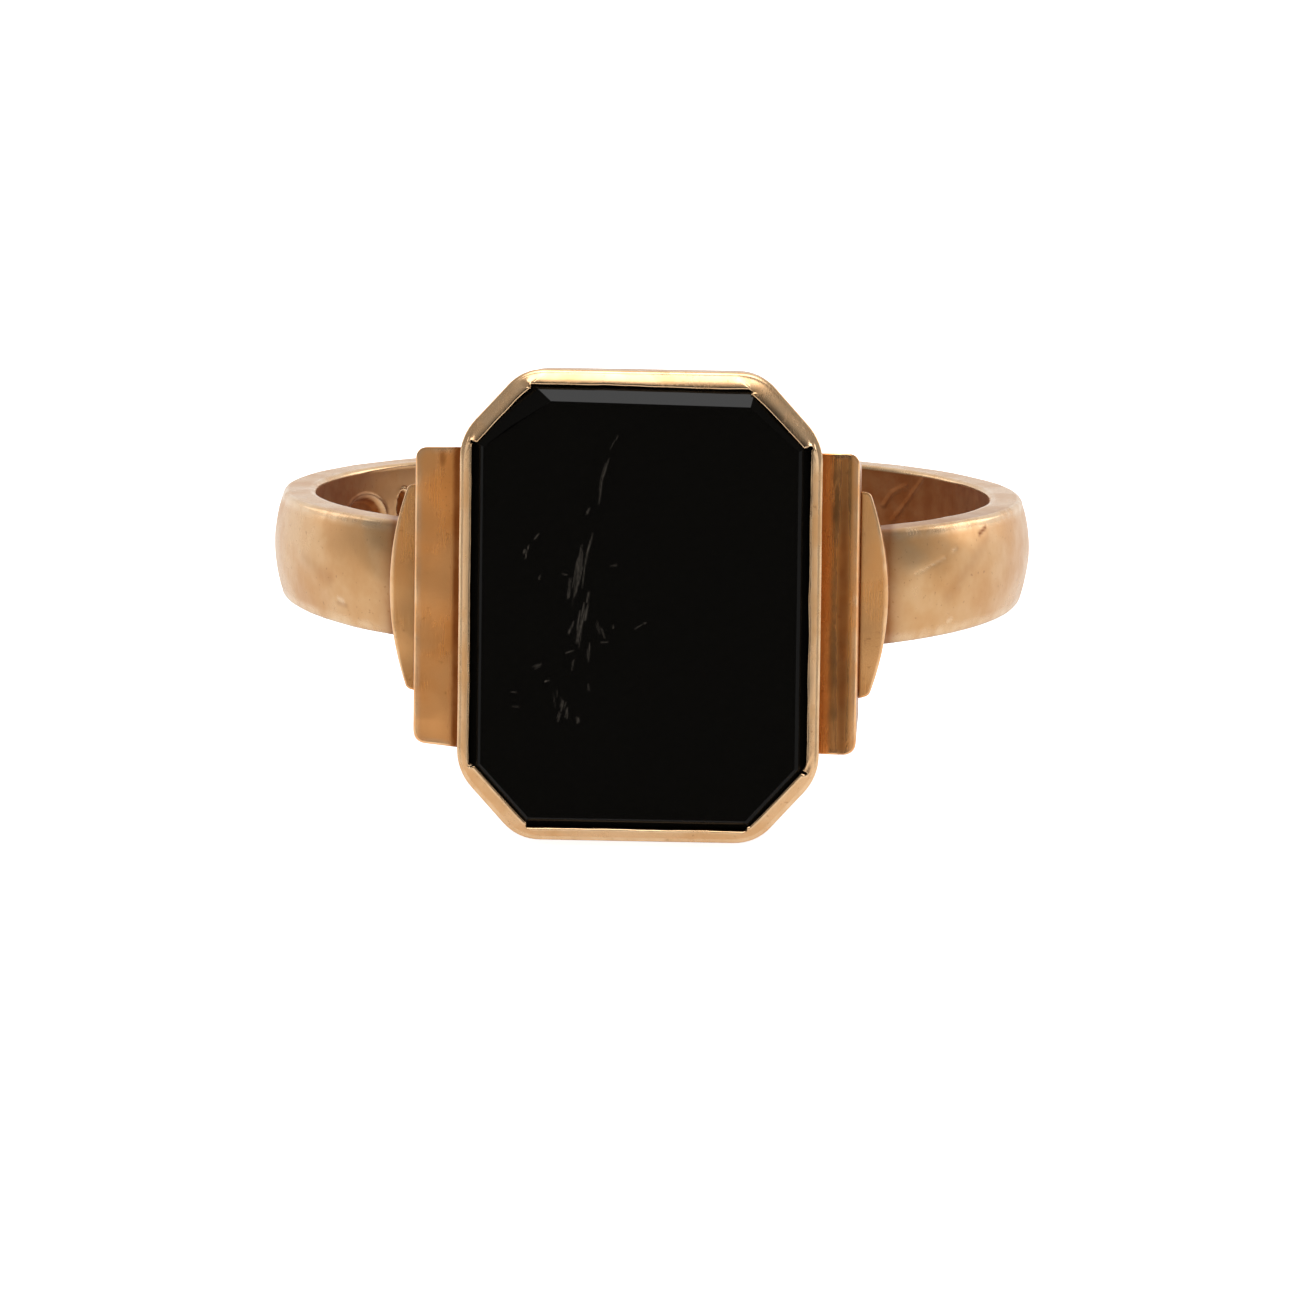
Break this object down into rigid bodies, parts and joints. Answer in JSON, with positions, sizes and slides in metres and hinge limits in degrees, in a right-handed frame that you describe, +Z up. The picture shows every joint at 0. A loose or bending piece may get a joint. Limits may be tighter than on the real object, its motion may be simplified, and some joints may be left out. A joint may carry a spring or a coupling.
{
  "type": "signet ring",
  "caption": "Finger ring with a tapered domed band, stepped shoulders and a cut-corner bezel holding a flat bevelled black stone.",
  "frame": {"origin": "on the table, under the middle of the ring's box, with the ring lying on its side", "axes": "+Z up from the table; the stone faces -Y and slightly up; X runs across the finger; the finger's axis leans back from +Z towards +Y"},
  "size_m": [0.0208, 0.0236, 0.0126],
  "materials": {
    "rose_gold": "worn polish",
    "worn_rose_gold": "worn satin",
    "black_onyx": "polished, lightly scratched"
  },
  "bodies": {
    "root": {"shank": "rose_gold", "back_plate": "worn_rose_gold", "bezel_strap": "rose_gold", "stone_seat": "worn_rose_gold", "onyx_plaque": "black_onyx", "left_shoulder_bar": "worn_rose_gold", "right_shoulder_bar": "worn_rose_gold", "left_half_moon": "rose_gold", "right_half_moon": "rose_gold"}
  },
  "joints": []
}
